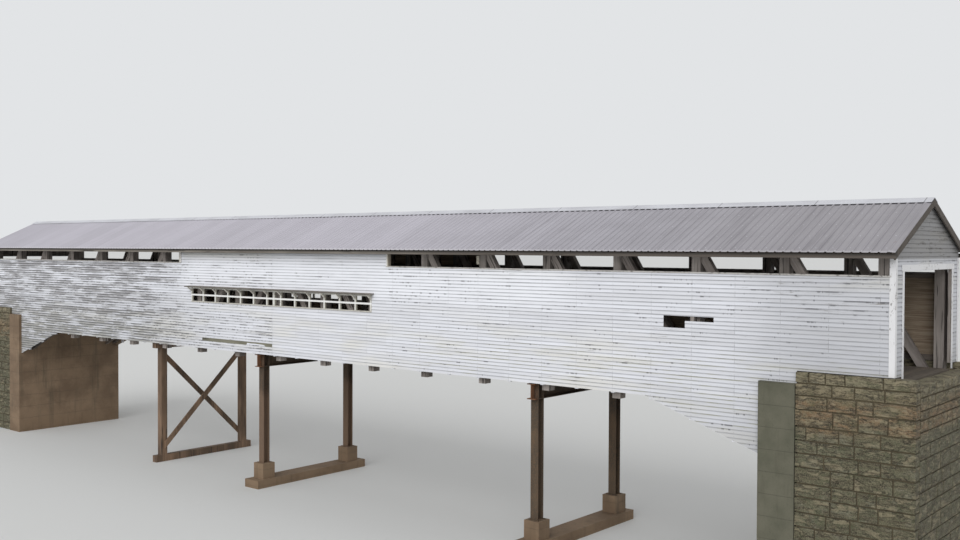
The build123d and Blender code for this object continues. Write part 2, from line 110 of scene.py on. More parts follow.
class Sheet:
    # a node tree that is filled in one call per node
    def __init__(self, tree, material=None):
        self.tree = tree
        self.material = material

    def node(self, kind, settings=None, inputs=None, output=0):
        made = self.tree.nodes.new(kind)
        for name, value in (settings or {}).items():
            setattr(made, name, value)
        self.feed(made, inputs or {})
        return Wire(self, pick(made.outputs, output)) if made.outputs else None

    def feed(self, node, inputs):
        for key, value in inputs.items():
            socket = pick(node.inputs, key)
            for part in value if isinstance(value, list) else [value]:
                if isinstance(part, Wire):
                    self.tree.links.new(part.socket, socket)
                else:
                    socket.default_value = part

    def vector(self, x=0.0, y=0.0, z=0.0):
        return self.node("ShaderNodeCombineXYZ", {}, {0: x, 1: y, 2: z})

    def split(self, vector):
        x = self.node("ShaderNodeSeparateXYZ", {}, {0: vector})
        return x, x.also("Y"), x.also("Z")

    def mix(self, factor, first, second):
        # of two colours, each a wire or the red, green and blue on a screen
        first, second = (part if isinstance(part, Wire) else tone(*part) for part in (first, second))
        return self.node("ShaderNodeMix", {"data_type": "RGBA"}, {"Factor": factor, "A": first, "B": second})

    def noise(self, place, scale, detail=3.0, rough=0.55):
        inputs = {"Vector": place, "Scale": scale, "Detail": detail, "Roughness": rough}
        return self.node("ShaderNodeTexNoise", {}, inputs)

    def cloud(self, x, y, z, detail=3.0, rough=0.55):
        # noise stretched by a scale of its own along each axis
        return self.noise(self.vector(x, y, z), 1.0, detail, rough)

    def tag(self, name):
        # the value that each board, plank or stone carries
        return self.node("ShaderNodeAttribute", {"attribute_name": name}, output="Fac")

    def facing(self):
        # how far a face looks along Y
        return self.split(self.node("ShaderNodeNewGeometry", output="Normal"))[1]

    # the rest is for Geometry Nodes
    def geo(self, kind, settings=None, output=0, **inputs):
        # an underscore stands for the space in the name of an input
        inputs = {name.replace("_", " "): value for name, value in inputs.items()}
        return self.node("GeometryNode" + kind, settings, inputs, output)

    def put(self, shape, place):
        return self.geo("SetPosition", Geometry=shape, Position=place)

    def join(self, first, second, operation="ADD"):
        return self.node("ShaderNodeVectorMath", {"operation": operation}, {0: first, 1: second})

    def scaled(self, vector, factor):
        return self.node("ShaderNodeVectorMath", {"operation": "SCALE"}, {0: vector, "Scale": factor})

    def dice(self, label, low, high):
        # an even random value, from the seed given to the tree
        inputs = {"Min": low, "Max": high, "ID": label, "Seed": self.seed}
        return self.node("FunctionNodeRandomValue", {"data_type": "FLOAT"}, inputs)

    def store(self, shape, name, value, domain="INSTANCE"):
        settings = {"data_type": "FLOAT", "domain": domain}
        return self.geo("StoreNamedAttribute", settings, Geometry=shape, Name=name, Value=value)

    def read(self, name, kind="FLOAT"):
        return self.geo("InputNamedAttribute", {"data_type": kind}, Name=name)


# Camera and light

view = {"place": (16.5775, -14.849, 4.9038), "lens": 39.126, "turn": 39.7309, "down": 1.161, "roll": 0.2337}
camera = bpy.data.cameras.new("camera")
camera.lens = view["lens"]
camera.sensor_width = 36.0
camera.clip_end = 4000.0
bpy.context.scene.camera = newPiece("camera", camera)
turn = Matrix.Rotation(radians(view["turn"]), 4, "Z")
tilt = Matrix.Rotation(radians(90 - view["down"]), 4, "X")
roll = Matrix.Rotation(radians(view["roll"]), 4, "Z")
bpy.context.scene.camera.matrix_world = Matrix.Translation(view["place"]) @ turn @ tilt @ roll

light = {
    "sky": 0.62,
    "backdrop": tone(226, 228, 230),
    "sun": 1.62,
    "sunSpread": 50.0,
    "sunFrom": (0.45, -1.2, 0.8),
    "floor": (214, 215, 214),
    "floorReach": 1500.0,
}
world = bpy.data.worlds.new("studio")
world.use_nodes = True
world.node_tree.nodes.clear()
bpy.context.scene.world = world
sheet = Sheet(world.node_tree)
ray = sheet.node("ShaderNodeLightPath", output="Is Camera Ray")
seen = ray.most(ray.also("Is Glossy Ray")).most(ray.also("Is Transmission Ray"))
sky = sheet.node("ShaderNodeBackground", {}, {"Color": (1.0, 1.0, 1.0, 1.0), "Strength": light["sky"]})
backdrop = sheet.node("ShaderNodeBackground", {}, {"Color": light["backdrop"], "Strength": 1.0})
both = sheet.node("ShaderNodeMixShader", {}, {0: seen, 1: sky, 2: backdrop})
sheet.node("ShaderNodeOutputWorld", {}, {"Surface": both})
sun = bpy.data.lights.new("sun", "SUN")
sun.energy = light["sun"]
sun.angle = radians(light["sunSpread"])
newPiece("sun", sun).rotation_euler = Vector(light["sunFrom"]).to_track_quat("Z", "Y").to_euler()
bpy.context.scene.view_settings.view_transform = "Standard"
print("camera and light set")


# Finishes

def newFinish(name):
    material = bpy.data.materials.new(name)
    material.use_nodes = True
    sheet = Sheet(material.node_tree, material)
    sheet.place = sheet.node("ShaderNodeTexCoord", output="Object")
    return sheet, *sheet.split(sheet.place)


def finish(colour, coats, roughness, height=None, reach=0.01, metal=0.0):
    # each coat, a factor and a colour, goes over the last one
    sheet = colour.sheet
    for factor, shade in coats:
        colour = sheet.mix(factor, colour, shade)
    values = {"Base Color": colour, "Roughness": roughness, "Metallic": metal}
    if height is not None:
        values["Normal"] = sheet.node("ShaderNodeBump", {}, {"Strength": 1.0, "Distance": reach, "Height": height})
    sheet.feed(sheet.tree.nodes["Principled BSDF"], values)
    return sheet.material


paint = {
    "white": (228, 230, 237),
    "paintedLight": (241, 243, 249),
    "chalk": (212, 213, 218),
    "warm": (218, 215, 203),
    "yellowed": (214, 211, 196),
    "lapShade": (148, 149, 154),
    "lapShadeAndDirt": (110, 111, 115),
    "grimeAndShade": (158, 159, 163),
    "greyWood": (142, 143, 148),
    "brownWood": (124, 118, 112),
    "moss": (142, 141, 122),
    "dark": (78, 77, 80),
    "courseFoot": 2.740,
    "exposure": 0.058,
    "nailSpacing": 0.6675,
    "eaveShade": (88, 84, 78),
    "backLight": (172, 155, 134),
    "backDark": (128, 111, 94),
    "seam": -0.057,
}


def boardPaint():
    sheet, x, y, z = newFinish("white board paint")
    board = sheet.tag("board")
    nearSide, across = y.ease(-1.2, -1.3), y.above(0.0)
    rise = (z - paint["courseFoot"]) / paint["exposure"]
    course, inCourse = rise.floor(), rise.fract()
    along = x + y * 1.31  # also runs on over the gable ends
    # worst towards the left bank, least round the window strip and on the newer boards right of the seam
    seam = paint["seam"]
    heavy, bank, newer = x.ease(-2.4, -5.0), x.ease(9.6, 11.3), x.ease(3.0, 6.0)
    underEave = z.ease(4.20, 4.56)
    fresh = x.ease(-3.6, -2.2) * x.ease(3.3, 3.1) * z.ease(3.40, 3.48).most(x.ease(seam - 0.01, seam))
    drift = sheet.cloud(along * 0.45, across * 7, z * 3.2)
    lane = sheet.cloud(along * 1.7, course * 7.31, across * 11, 4.0, 0.55)
    short = sheet.cloud(along * 7, course * 3.77, across * 9, 3.0, 0.6)
    streak = sheet.cloud(along * 1.5, across * 5, z * 40, 5.0, 0.64)
    fleck = sheet.cloud(along * 8.5, across * 5, z * 92, 4.0, 0.68)
    grain = sheet.cloud(along * 6, across * 5, z * 240, 3.0, 0.6)
    patch = sheet.cloud(along * 1.3, across * 4 + 2, course * 0.43)
    # the old boards left of the seam have flaked most below the window strip
    old = x.ease(seam + 0.01, seam - 0.01) * nearSide
    below = old * x.ease(-5.4, -3.0) * (z.ease(3.75, 3.45) + z.ease(4.0, 4.1) * z.ease(4.5, 4.25) * 0.6)
    underSill = x.ease(-2.8, -3.3) * z.ease(4.43, 4.45) * z.ease(4.52, 4.50)
    lowLeft = x.ease(-4.2, -6.2) * z.ease(3.6, 3.0)
    flaked = x.ease(-2.0, -0.5) * x.ease(6.0, 3.5) * z.ease(3.85, 4.05)
    dampFoot = x.ease(2.5, 4.5) * z.ease(3.75, 3.1)
    wear = heavy * 0.162 + lowLeft * 0.05 + underSill * 0.06 + bank * z.ease(3.8, 4.1) * 0.055
    wear = wear + underEave * 0.015 - 0.055 + (drift - 0.5) * 0.17 + (board - 0.5) * 0.08 + flaked * 0.020
    wear = wear - fresh * (1 - old) * 0.05 + below * 0.07 + heavy * (patch - 0.5) * 0.6
    # stains, and painted light on the near side's upper boards, from the window strip up
    damp = z.ease(4.1, 3.1) * 0.55 + z.ease(4.30, 4.50) * x.ease(0.5, 2.5) * 0.60
    paintedLight = x.ease(-3.5, -2.6) * x.ease(7.8, 6.6) * z.ease(3.80, 4.15) * nearSide
    yellow = x.ease(-3.2, -3.0) * x.ease(0.4, -0.8) * z.ease(4.6, 4.78)
    grime = sheet.cloud(along * 1.2, across * 5, z * 9, 4.0, 0.6).ease(0.46, 0.72) * (0.14 + heavy * 0.42)
    lowGrime = x.ease(-0.5, -4.5) * z.ease(4.2, 3.4) * 0.30 + x.ease(7.8, 9.2) * z.ease(4.4, 3.4) * 0.16
    # painted shade, and dirt, in the angle under each butt
    lap = inCourse.ease(0.54, 0.90) * (0.60 + heavy * 0.08 + newer * 0.10 + (lane - 0.5) * 1.2)
    lapColour = sheet.mix(dampFoot * lane.ease(0.45, 0.6), paint["lapShade"], paint["moss"])
    # bare wood: thin streaks with the grain, and dashes that start from a butt; the dark gaps under the butts are
    # painted shade
    bare = (streak + wear * 1.1 + (fleck - 0.5) * 0.26).ease(0.59, 0.69)
    dash = (lane + wear * 1.4 + (short - 0.5) * 0.28).ease(0.60, 0.66) * inCourse.ease(0.50, 0.78)
    gap = (lane * 0.65 + short * 0.35 + wear + flaked * 0.045 + dampFoot * 0.03).ease(0.55, 0.60)
    gap = gap * inCourse.ease(0.84, 0.93)
    wood = sheet.mix(fleck.ease(0.35, 0.65), paint["greyWood"], paint["brownWood"])
    wood = sheet.mix(heavy * z.ease(3.7, 2.9) * 0.5, wood, paint["moss"])
    wood = sheet.mix((fleck * 0.5 + grain * 0.5).ease(0.56, 0.66) * 0.6, wood, paint["dark"])
    # small dark ticks in clusters, most of them where the paint has flaked
    cluster = sheet.cloud(along * 2.3, course * 0.47, across * 3 + 5, 3.0, 0.6)
    tick = sheet.cloud(along * 21, course * 9.1, across * 3 + 8, 3.0, 0.65)
    ticks = tick + cluster * 1.5 + flaked * 0.11 + below * 0.17 - fresh * 0.2 * (1 - old)
    ticks = ticks.ease(1.47, 1.53) * inCourse.ease(0.50, 0.76)
    # nail heads at each upright, with a faint run below
    stud = ((x / paint["nailSpacing"] + 0.5).fract() - 0.5).size() * paint["nailSpacing"]
    drop = (inCourse - 0.26) * paint["exposure"]
    nail = (stud * stud + drop * drop).ease(0.0000105, 0.000005)
    run = stud.ease(0.006, 0.001) * inCourse.ease(0.26, 0.20) * inCourse.ease(0.0, 0.12) * short.ease(0.4, 0.6)
    seamLine = (x - seam).size().ease(0.007, 0.003) * nearSide
    # the backs of the boards, towards the roadway, were never painted
    back = (sheet.facing() * y).ease(-0.3, -0.8)
    coats = [
        (drift.ease(0.46, 0.66) * damp, paint["warm"]),
        (paintedLight * 0.8, paint["paintedLight"]),
        (yellow * 0.45, paint["yellowed"]),
        # grime, darker towards the foot, and painted shade towards the right bank
        (grime + lowGrime + bank * 0.46 + z.ease(3.1, 2.2) * 0.28, paint["grimeAndShade"]),
        (lap, sheet.mix(heavy * 0.75, lapColour, paint["lapShadeAndDirt"])),
        (bare * (0.80 - heavy * 0.10), wood),
        (dash * (0.74 + heavy * 0.16), sheet.mix(short + heavy * 0.25, paint["greyWood"], paint["dark"])),
        (gap.most(ticks) * (0.70 + heavy * 0.16), paint["dark"]),
        (nail * 0.8 + run * 0.35, paint["brownWood"]),
        (seamLine * (0.25 + z.ease(3.46, 3.44) * 0.3), paint["lapShade"]),
        # painted shade in the angle under the eave
        (z.ease(4.768, 4.808) * 0.66, paint["eaveShade"]),  # in the angle under the eave
        (back, sheet.mix(streak.ease(0.35, 0.65), paint["backLight"], paint["backDark"])),
    ]
    colour = sheet.mix(board * 0.75, paint["white"], paint["chalk"])
    height = grain * 0.25 - bare * 0.4 - dash * 0.5 - nail * 0.6
    return finish(colour, coats, 0.55 + bare * 0.35, height, 0.0014)


def trimPaint(name, front, side, dirt, worn, upright=False, extra=lambda x, z: []):
    # brushed paint on trim: a colour for faces that look along Y, one for its edges, and how worn it is
    sheet, x, y, z = newFinish(name)
    along, cross = (z, x) if upright else (x, z)
    cloud = sheet.cloud(along * 2.2, y * 2.2, cross * 6, 4.0, 0.6)
    fine = sheet.cloud(along * 16, y * 30, cross * 45, 4.0, 0.65)
    grain = sheet.cloud(along * 5, y * 90, cross * 90, 3.0, 0.6)
    bare = (fine + cloud * 0.35).ease(0.80 - worn * 0.18, 0.88 - worn * 0.18)
    coats = [
        (cloud.ease(0.42, 0.72) * (0.2 + worn * 0.5), dirt),
        (bare * 0.8, sheet.mix(grain, paint["brownWood"], paint["dark"])),
        *extra(x, z),
    ]
    # faces that look along Y take the front colour and the rest the side colour; on the pale trim the darker side
    # colour is painted shade
    colour = sheet.mix(sheet.facing().size().ease(0.5, 0.9), side, front)
    return finish(colour, coats, 0.55 + bare * 0.3, grain * 0.3 - bare * 0.5, 0.0012)


trims = {"rail": 3.8845, "railHalf": 0.0172, "sill": 3.7495, "casingMiddle": (3.205, 3.211)}


def windowCoats(x, z):
    # the middle rail is the whitest, and the sill the dirtiest
    rail = (z - trims["rail"]).size().ease(trims["railHalf"] + 0.001, trims["railHalf"] - 0.001)
    sill = z.ease(trims["sill"] + 0.002, trims["sill"])
    return [(rail * 0.8, (246, 246, 245)), (sill * 0.55, (168, 163, 152))]


def casingCoats(x, z):
    # the outer half of a casing keeps its white, and the half at the vent is bare of it
    return [(x.size().ease(*trims["casingMiddle"]) * 0.85, (170, 161, 144))]


def oldTimber(name, run, light, dark, sheetShadeLevel=None, footLevel=None):
    # weathered timber with its grain along X, Y, Z or, on braces, down a slope away from midspan
    sheet, x, y, z = newFinish(name)
    if run == "slope":
        out, cosine, sine = x.size(), 0.528, 0.849
        length, side, third = out * cosine - z * sine, out * sine + z * cosine, y
    else:
        length, side, third = {"X": (x, y, z), "Y": (y, x, z), "Z": (z, x, y)}[run]
    grain = sheet.cloud(length * 2.2, side * 60, third * 60, 5.0, 0.65)
    check = sheet.cloud(length * 1.1, side * 26, third * 26, 2.0, 0.5)
    cloud = sheet.cloud(length * 0.8, side * 3, third * 3)
    crack = check.ease(0.395, 0.36)
    coats = [(grain.ease(0.35, 0.7) * 0.55, dark), (crack * 0.75, (34, 31, 29))]
    if sheetShadeLevel:
        # boards of the eave are browner to the right, darker along their foot, and painted with shade towards the
        # sheets above them
        coats += [
            (x.ease(-1.0, 9.0) * 0.80, (70, 62, 56)),
            (z.ease(sheetShadeLevel - 0.034, sheetShadeLevel) * 0.75 * y.size().above(1.5), (44, 40, 36)),
            (z.ease(sheetShadeLevel - 0.041, sheetShadeLevel - 0.049) * 0.45, (60, 56, 50)),
        ]
    if footLevel:
        # the feet that stand out under the siding were painted with it
        coats.append((z.ease(footLevel + 0.002, footLevel) * 0.9, paint["white"]))
    return finish(sheet.mix(cloud.ease(0.3, 0.7), dark, light), coats, 0.82, grain * 0.5 - crack * 1.2, 0.003)


metal = {
    "left": (190, 187, 196),
    "right": (168, 166, 173),
    "farRight": (154, 151, 155),
    "streak": (122, 119, 124),
    "edge": (208, 206, 211),
    "gap": (58, 56, 60),
    "capEdge": 0.1362,
    "rust": (116, 84, 62),
    "panel": 0.4572,
    "pitch": 0.1143,
    "capJoint": 1.52,
}


def roofMetal():
    sheet, x, y, z = newFinish("ribbed roof metal")
    down, wide, stained = y.size(), x.ease(1.0, 9.5), x.ease(6.0, 11.0)
    panel = sheet.vector((x / metal["panel"]).floor(), y.above(0.0), 3.0)
    shade = sheet.node("ShaderNodeTexWhiteNoise", {"noise_dimensions": "3D"}, {"Vector": panel})
    streak = sheet.cloud(x * 9.0, y * 0.55, 0.0, 4.0, 0.62)
    fine = sheet.cloud(x * 38.0, y * 1.5, 0.0, 3.0, 0.6)
    cloud = sheet.cloud(x * 0.7, y * 1.6, 0.0, 4.0, 0.6)
    spot = sheet.cloud(x * 3.1, y * 5.0, 2.0, 4.0, 0.6)
    rust = (spot + fine * 0.12).ease(0.775, 0.82)
    rib = (x / metal["pitch"]).fract()
    # painted shade on the flanks of each rib, deeper to the right
    foot = rib.ease(0.30, 0.36) * rib.ease(0.44, 0.38) + rib.ease(0.56, 0.62) * rib.ease(0.70, 0.64)
    # the pans are open just under the edge of the ridge cap, and painted shade darkens them
    openPan = down.ease(metal["capEdge"] + 0.022, metal["capEdge"] + 0.016) * (rib - 0.5).size().ease(0.16, 0.20)
    # a painted highlight along the lower edge of the sheets, fading to the right
    edge = (down + (fine - 0.5) * 0.02).ease(1.540, 1.560)
    coats = [
        (x.ease(7.0, 11.5) * 0.8, metal["farRight"]),
        (shade * 0.16, metal["streak"]),
        (cloud.ease(0.4, 0.75) * (0.08 + wide * 0.16), metal["streak"]),
        (streak.ease(0.48, 0.75) * (0.12 + wide * 0.34 + stained * 0.2), metal["streak"]),
        (foot * (0.10 + wide * 0.35), metal["streak"]),
        (rust * 0.65, metal["rust"]),
        (openPan * (0.35 + x.ease(-3.0, 0.0) * 0.5), metal["gap"]),
        (edge * (0.7 - wide * 0.4), metal["edge"]),
    ]
    colour = sheet.mix(wide, metal["left"], metal["right"])
    return finish(colour, coats, 0.50 + streak * 0.18 + rust * 0.2, fine * 0.3 + cloud * 0.4, 0.002, 0.15)


def ridgeMetal():
    sheet, x, y, z = newFinish("ridge metal")
    cloud = sheet.cloud(x * 1.2, y * 3, z * 3, 4.0, 0.6)
    fine = sheet.cloud(x * 12, y * 30, z * 30, 3.0, 0.6)
    seam = ((x / metal["capJoint"]).fract() - 0.5).size().ease(0.494, 0.4985)
    colour = sheet.mix(cloud.ease(0.35, 0.7) * 0.5, (206, 207, 213), (168, 167, 172))
    return finish(colour, [(seam * 0.8, (96, 94, 96))], 0.45 + fine * 0.2, cloud * 0.3 - seam, 0.002, 0.2)


def rustySteel():
    sheet, x, y, z = newFinish("rusty steel")
    cloud = sheet.cloud(x * 4, y * 4, z * 1.4, 5.0, 0.62)
    fine = sheet.noise(sheet.place, 55.0, 5.0, 0.7)
    run = sheet.cloud(x * 40, y * 40, z * 1.6, 3.0, 0.6)
    wet = y.size().ease(1.22, 1.30) * z.ease(2.44, 2.47)  # the ends of the caps, out in the rain
    # floods leave the piles tan with silt up to a little below the caps
    silt = (z + (cloud - 0.5) * 0.5).ease(2.05, 1.80) * x.ease(3.0, 0.0)
    coats = [
        (z.ease(1.85, 2.05) * (1 - wet) * 0.5, (48, 44, 39)),
        (fine.ease(0.45, 0.7) * (0.5 + wet * 0.4), sheet.mix(wet, (126, 94, 66), (152, 92, 54))),
        (wet * 0.45, (128, 82, 52)),
        (run.ease(0.5, 0.75) * 0.45, (64, 50, 42)),
        (silt * (0.35 + fine * 0.4), (122, 99, 81)),
    ]
    colour = sheet.mix(cloud.ease(0.32, 0.68), (90, 75, 58), (68, 59, 48))
    return finish(colour, coats, 0.78 + fine * 0.15, fine * 0.5 + cloud * 0.4, 0.003)


def concrete():
    sheet, x, y, z = newFinish("old concrete")
    cloud = sheet.noise(sheet.place, 1.6, 5.0, 0.6)
    fine = sheet.noise(sheet.place, 42.0, 5.0, 0.65)
    run = sheet.cloud(x * 9, y * 9, z * 0.8, 4.0, 0.6)
    joint = ((z - 0.05) / 0.305).fract().ease(0.030, 0.012)
    pit = sheet.node("ShaderNodeTexVoronoi", {"feature": "F1"}, {"Vector": sheet.place, "Scale": 34.0}, "Distance")
    pit = pit.ease(0.16, 0.10)
    patchy = cloud.ease(0.35, 0.68)
    bank = x.ease(9.9, 10.2)  # the right bearing block is greyer than the footings and the left one
    coats = [
        (bank, sheet.mix(patchy, (100, 98, 84), (82, 82, 68))),
        (run.ease(0.5, 0.75) * 0.5, (76, 72, 60)),
        (joint * 0.35 + pit * 0.3, (70, 66, 58)),
        (z.ease(0.7, 0.05) * 0.35, (108, 88, 66)),
    ]
    colour = sheet.mix(patchy, (136, 115, 93), (112, 93, 74))
    return finish(colour, coats, 0.88, fine * 0.4 - pit - joint * 0.8, 0.003)


def sandstone():
    sheet, x, y, z = newFinish("quarry-faced sandstone")
    stone = sheet.tag("stone")
    own = (stone * 7.3).fract()
    warp = sheet.noise(sheet.place, 5.0, 3.0, 0.6)
    bed = sheet.cloud(x * 2.2 + stone * 9, y * 2.2, z * 38 + warp * 5, 5.0, 0.66)
    cloud = sheet.cloud(x * 4.5 + stone * 31, y * 4.5, z * 8, 4.0, 0.62)
    fine = sheet.noise(sheet.place, 80.0, 4.0, 0.7)
    lichen = sheet.cloud(x * 6, y * 6, z * 9 + 3, 5.0, 0.7)
    blotch = sheet.cloud(x * 7 + stone * 17, y * 7, z * 19, 5.0, 0.65)
    ridge = sheet.cloud(x * 6 + stone * 5, y * 6, z * 15 + warp, 4.0, 0.6)
    crease = (ridge - 0.5).size().ease(0.024, 0.003) * blotch.ease(0.42, 0.52)
    # paler and greyer in the top courses, rustier about a third of the way down, darker and greener at the foot
    level = z + (own - 0.5) * 0.12
    rusty = level.ease(3.02, 2.84) * level.ease(2.52, 2.60)
    coats = [
        (rusty * (0.15 + cloud.ease(0.42, 0.62) * 0.75), (120, 86, 55)),
        (level.ease(3.05, 3.16) * 0.70, (126, 120, 98)),
        (level.ease(2.56, 2.47) * 0.75, (72, 75, 57)),
        (cloud.ease(0.50, 0.68) * 0.50, (114, 112, 98)),
        (blotch.ease(0.50, 0.60) * 0.68, (66, 58, 43)),
        # painted highlight on the raised ridges of the face
        (ridge.ease(0.53, 0.62) * 0.42, (150, 138, 113)),
        (bed.ease(0.49, 0.59) * 0.74, (52, 44, 33)),
        # painted shade in the thin creases of the face
        (crease * 0.50, (42, 37, 29)),
        (fine.ease(0.42, 0.62) * 0.34, (158, 149, 124)),
        (lichen.ease(0.54, 0.68) * 0.5, (70, 75, 52)),
    ]
    colour = sheet.mix(own, (102, 99, 79), (106, 94, 71))
    return finish(colour, coats, 0.92, bed * -1.2 + fine * 0.5 + ridge * 1.2 - crease * 0.7, 0.012)


def mortar():
    sheet = newFinish("dark joint rubble")[0]
    cloud = sheet.noise(sheet.place, 12.0, 4.0, 0.6)
    return finish(sheet.mix(cloud, (112, 102, 80), (62, 55, 42)), [], 0.95, cloud, 0.006)


def deckWood():
    sheet, x, y, z = newFinish("deck planks")
    plank = sheet.tag("plank")
    grain = sheet.cloud(x * 70 + plank * 40, y * 2.4, z * 70, 5.0, 0.65)
    cloud = sheet.cloud(x * 2, y * 1.1, z * 4, 4.0, 0.6)
    track = (y.size() - 0.45).size().ease(0.34, 0.12)
    coats = [
        (grain.ease(0.35, 0.7) * 0.5, (66, 58, 51)),
        (track * 0.3 + cloud.ease(0.45, 0.7) * 0.25, (80, 75, 68)),
    ]
    return finish(sheet.mix(plank, (124, 112, 98), (98, 90, 80)), coats, 0.85, grain * 0.6, 0.003)


def plainFloor():
    sheet = newFinish("studio floor")[0]
    soft = sheet.noise(sheet.place, 0.05, 1.0)
    return finish(sheet.mix(soft * 0.06, light["floor"], (206, 207, 206)), [], 0.9)


boardFinish = boardPaint()
windowFinish = trimPaint(
    "window paint", (218, 217, 211), (180, 176, 163), (176, 170, 158), 0.18, extra=windowCoats
)
casingFinish = trimPaint(
    "vent casing paint", (228, 227, 226), (186, 180, 168), (196, 191, 182), 0.15, extra=casingCoats
)
sillFinish = trimPaint("vent sill paint", (184, 181, 177), (168, 164, 157), (142, 137, 130), 0.55)
cornerWhite = (222, 222, 224)
cornerFinish = trimPaint("corner board paint", cornerWhite, cornerWhite, (186, 184, 182), 0.12, True)
bracketFinish = trimPaint("bracket paint", (224, 221, 212), (212, 208, 199), (176, 170, 160), 0.3)
hoodFinish = trimPaint("weathered hood board", (96, 91, 82), (132, 125, 116), (66, 62, 56), 0.7)
stubFinish = trimPaint("pale stub board", (204, 199, 184), (190, 184, 168), (168, 160, 144), 0.2)
backingFinish = oldTimber("olive weathered board", "X", (134, 131, 114), (98, 97, 84))
eaveFinish = oldTimber("eave board timber", "X", (140, 134, 126), (106, 100, 92), 4.852)
alongFinish = oldTimber("chord timber", "X", (122, 112, 104), (82, 75, 69))
acrossFinish = oldTimber("floor beam timber", "Y", (116, 107, 98), (76, 69, 63))
uprightFinish = oldTimber("post timber", "Z", (178, 170, 164), (116, 109, 104))
nailerFinish = oldTimber("nailer timber", "Z", (178, 170, 164), (116, 109, 104), footLevel=paint["courseFoot"])
braceFinish = oldTimber("brace timber", "slope", (186, 177, 171), (118, 110, 105))
bentFinish = oldTimber("bent timber", "Z", (138, 112, 90), (84, 68, 54))
roofFinish = roofMetal()
ridgeFinish = ridgeMetal()
steelFinish = rustySteel()
concreteFinish = concrete()
stoneFinish = sandstone()
mortarFinish = mortar()
deckFinish = deckWood()
print("finishes made")


# Making and placing pieces

@contextmanager
def edited(mesh):
    # a mesh opened for work on its points and faces, and written back afterwards
    shape = bmesh.new()
    shape.from_mesh(mesh)
    yield shape
    shape.to_mesh(mesh)
    shape.free()


def squareUp(mesh, material, smoothUnder=0):
    # one material, faces pointing outwards, and edges kept sharp above an angle in degrees
    with edited(mesh) as shape:
        bmesh.ops.remove_doubles(shape, verts=shape.verts, dist=weld)
        bmesh.ops.recalc_face_normals(shape, faces=shape.faces)
        for face in shape.faces:
            face.material_index = 0
    for label in ("custom_normal", "sharp_face"):
        if label in mesh.attributes:
            mesh.attributes.remove(mesh.attributes[label])
    mesh.materials.clear()
    mesh.materials.append(material)
    if smoothUnder:
        mesh.shade_smooth()
        mesh.set_sharp_from_angle(angle=radians(smoothUnder))
    else:
        mesh.shade_flat()
    mesh.update()


def nodeCopy(node, name):
    # a node's shape as a mesh of its own, with its loose triangles merged
    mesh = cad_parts[node].data.copy()
    mesh.name = name
    with edited(mesh) as shape:
        bmesh.ops.remove_doubles(shape, verts=shape.verts, dist=weld)
        bmesh.ops.dissolve_limit(shape, angle_limit=radians(0.5), verts=shape.verts, edges=shape.edges)
    return mesh


socketKinds = {float: "Float", int: "Int", tuple: "Vector", bpy.types.Object: "Object", bpy.types.Material: "Material"}


def newTree(name, values, takesMesh=False):
    # a tree with an input for each of the values that will be given to it
    tree = bpy.data.node_groups.new(name, "GeometryNodeTree")
    tree.interface.new_socket("Geometry", in_out="OUTPUT", socket_type="NodeSocketGeometry")
    if takesMesh:
        tree.interface.new_socket("Mesh", in_out="INPUT", socket_type="NodeSocketGeometry")
    for label, value in {**values, "Finish": bpy.types.Material}.items():
        kind = socketKinds[value if isinstance(value, type) else type(value)]
        tree.interface.new_socket(label, in_out="INPUT", socket_type="NodeSocket" + kind)
    sheet = Sheet(tree)
    given = {s.name: Wire(sheet, s) for s in tree.nodes.new("NodeGroupInput").outputs if s.name}
    sheet.seed = given.get("Seed")
    return sheet, given


def endTree(sheet, given, shape):
    shape = sheet.geo("RealizeInstances", Geometry=shape)
    shape = sheet.geo("SetMaterial", Geometry=shape, Material=given["Finish"])
    sheet.node("NodeGroupOutput", {}, {"Geometry": shape})
    return sheet.tree


def grow(name, tree, values, material, base=None, smoothUnder=0):
    # runs a tree once and keeps its result as a plain mesh
    values = {**values, "Finish": material}
    piece = newPiece(name, base or bpy.data.meshes.new(name))
    modifier = piece.modifiers.new("build", "NODES")
    modifier.node_group = tree
    for item in tree.interface.items_tree:
        if item.in_out == "INPUT" and item.name in values:
            modifier[item.identifier] = values[item.name]
    solid = piece.evaluated_get(bpy.context.evaluated_depsgraph_get())
    piece.data = bpy.data.meshes.new_from_object(solid)
    piece.modifiers.remove(modifier)
    piece.data.name = name
    squareUp(piece.data, material, smoothUnder)
    return piece


def keep(piece, slot, *nodes):
    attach(piece, "root")
    if nodes:
        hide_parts(*nodes)


def pointMesh(name, label, spots, vectors):
    # points for a tree, each with a vector of its own
    mesh = bpy.data.meshes.new(name)
    mesh.from_pydata(spots, [], [])
    for item, vector in zip(mesh.attributes.new(label, "FLOAT_VECTOR", "POINT").data, vectors):
        item.vector = vector
    return mesh


def boardMesh(name, boxes, edge):
    # boards with eased edges, each given by its low and high corner
    mesh = bpy.data.meshes.new(name)
    with edited(mesh) as shape:
        for low, high in boxes:
            for vertex in bmesh.ops.create_cube(shape, size=1.0)["verts"]:
                vertex.co = [a + (b - a) * (c + 0.5) for a, b, c in zip(low, high, vertex.co)]
        bmesh.ops.bevel(shape, geom=shape.edges[:], offset=edge, segments=1, affect="EDGES")
    return mesh


def keepMesh(name, mesh, material, slot, *nodes):
    squareUp(mesh, material)
    keep(newPiece(name, mesh), slot, *nodes)


def trimPiece(name, boxes, material, slot, edge=0.0012):
    keepMesh(name, boardMesh(name, boxes, edge), material, slot)


def mirrored(boxes, *axes):
    # the same boards and their mirror images in the given axes
    for axis in axes:
        images = []
        for low, high in boxes:
            first, second = list(low), list(high)
            first[axis], second[axis] = -high[axis], -low[axis]
            images.append((tuple(first), tuple(second)))
        boxes = boxes + images
    return boxes


# Clapboards: tapered boards in courses, lapped over each other and cut to the wall's own outline

